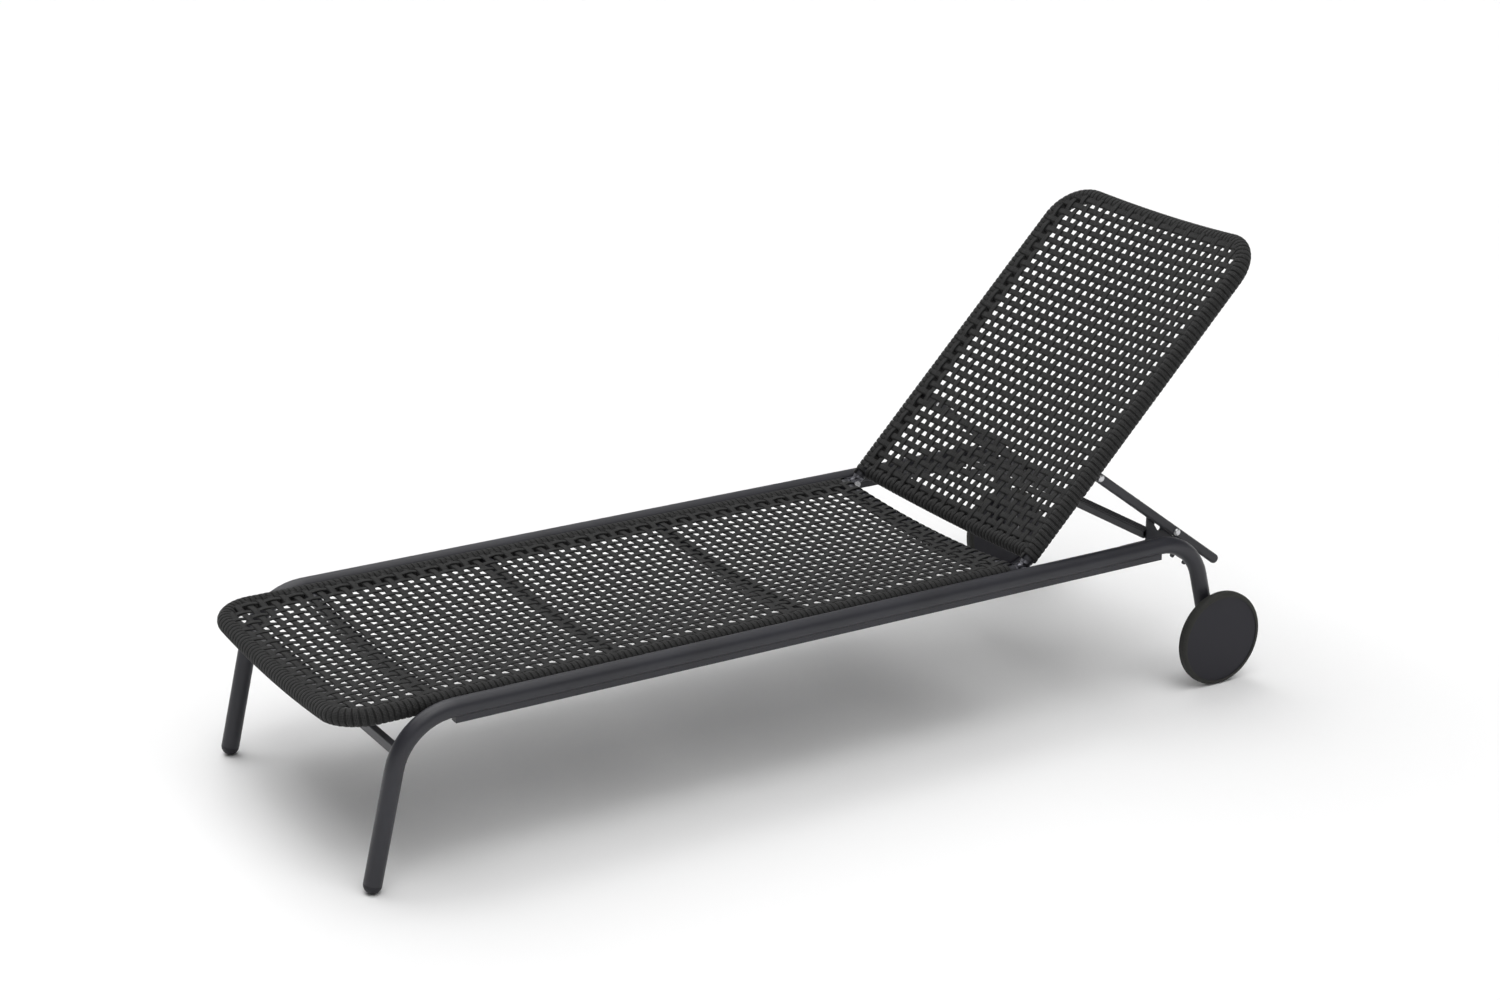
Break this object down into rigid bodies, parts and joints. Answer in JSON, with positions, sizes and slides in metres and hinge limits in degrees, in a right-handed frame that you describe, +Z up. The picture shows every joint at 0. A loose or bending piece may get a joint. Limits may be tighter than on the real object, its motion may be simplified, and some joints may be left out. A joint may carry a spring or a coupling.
{
  "type": "reclining sun lounger",
  "caption": "Low reclining sun lounger: bent tube frame on feet and wheels, open corded seat, and a corded backrest held up by stays that lock into notched plates.",
  "frame": {"origin": "on the floor, under the middle of the outline", "axes": "+X from the foot end to the head end, +Y across, +Z up"},
  "size_m": [1.7891, 0.672, 0.7891],
  "materials": {
    "frame_metal": "satin",
    "cord": "matte",
    "bright_metal": "satin",
    "wheel_plastic": "matte",
    "tyre_rubber": "matte",
    "plug_plastic": "matte"
  },
  "bodies": {
    "frame": {"axle_left": "bright_metal", "axle_right": "bright_metal", "foot_cap_left": "plug_plastic", "foot_cap_right": "plug_plastic", "front_stretcher": "frame_metal", "hinge_bolts": "bright_metal", "hinge_fork_left": "bright_metal", "hinge_fork_right": "bright_metal", "leg_plug_left": "plug_plastic", "leg_plug_right": "plug_plastic", "rack_plate_left": "frame_metal", "rack_plate_right": "frame_metal", "rear_crossbar": "frame_metal", "seat_crossbar_front": "frame_metal", "seat_crossbar_middle": "frame_metal", "seat_crossbar_rear": "frame_metal", "seat_frame": "frame_metal", "seat_rear_bar": "frame_metal", "seat_spacers": "frame_metal", "seat_weave": "cord", "seat_wrap": "cord", "side_frame_left": "frame_metal", "side_frame_right": "frame_metal", "under_rail_left": "frame_metal", "under_rail_right": "frame_metal"},
    "backrest": {"backrest_bottom_bar": "frame_metal", "backrest_bottom_wrap": "cord", "backrest_frame": "frame_metal", "backrest_weave": "cord", "backrest_wrap": "cord", "hinge_eye_left": "bright_metal", "hinge_eye_right": "bright_metal", "stay_lug_left": "frame_metal", "stay_lug_right": "frame_metal", "stay_pivots": "bright_metal"},
    "stay_left": {"stay_left": "frame_metal", "lock_pin_left": "bright_metal"},
    "stay_right": {"stay_right": "frame_metal", "lock_pin_right": "bright_metal"},
    "wheel_left": {"wheel_disc_left": "wheel_plastic", "wheel_tyre_left": "tyre_rubber"},
    "wheel_right": {"wheel_disc_right": "wheel_plastic", "wheel_tyre_right": "tyre_rubber"}
  },
  "joints": [
    {"name": "recline", "type": "hinge", "parent": "frame", "child": "backrest", "pos_m": [0.37909, 0, 0.276], "axis": [0, -1, 0], "range_deg": [-33.92, 10.58]},
    {"name": "stay_left_swing", "type": "hinge", "parent": "backrest", "child": "stay_left", "pos_m": [0.55058, -0.25, 0.40824], "axis": [0, -1, 0], "range_deg": [-14.38, 45.89]},
    {"name": "stay_right_swing", "type": "hinge", "parent": "backrest", "child": "stay_right", "pos_m": [0.55058, 0.25, 0.40824], "axis": [0, -1, 0], "range_deg": [-14.38, 45.89]},
    {"name": "wheel_left_spin", "type": "hinge", "parent": "frame", "child": "wheel_left", "pos_m": [0.7781, -0.327, 0.0873], "axis": [0, 1, 0], "continuous": true},
    {"name": "wheel_right_spin", "type": "hinge", "parent": "frame", "child": "wheel_right", "pos_m": [0.7781, 0.327, 0.0873], "axis": [0, 1, 0], "continuous": true}
  ],
  "couplings": [
    {"joint": "stay_left_swing", "follows": "recline", "ratio": -1.35},
    {"joint": "stay_right_swing", "follows": "recline", "ratio": -1.35}
  ]
}
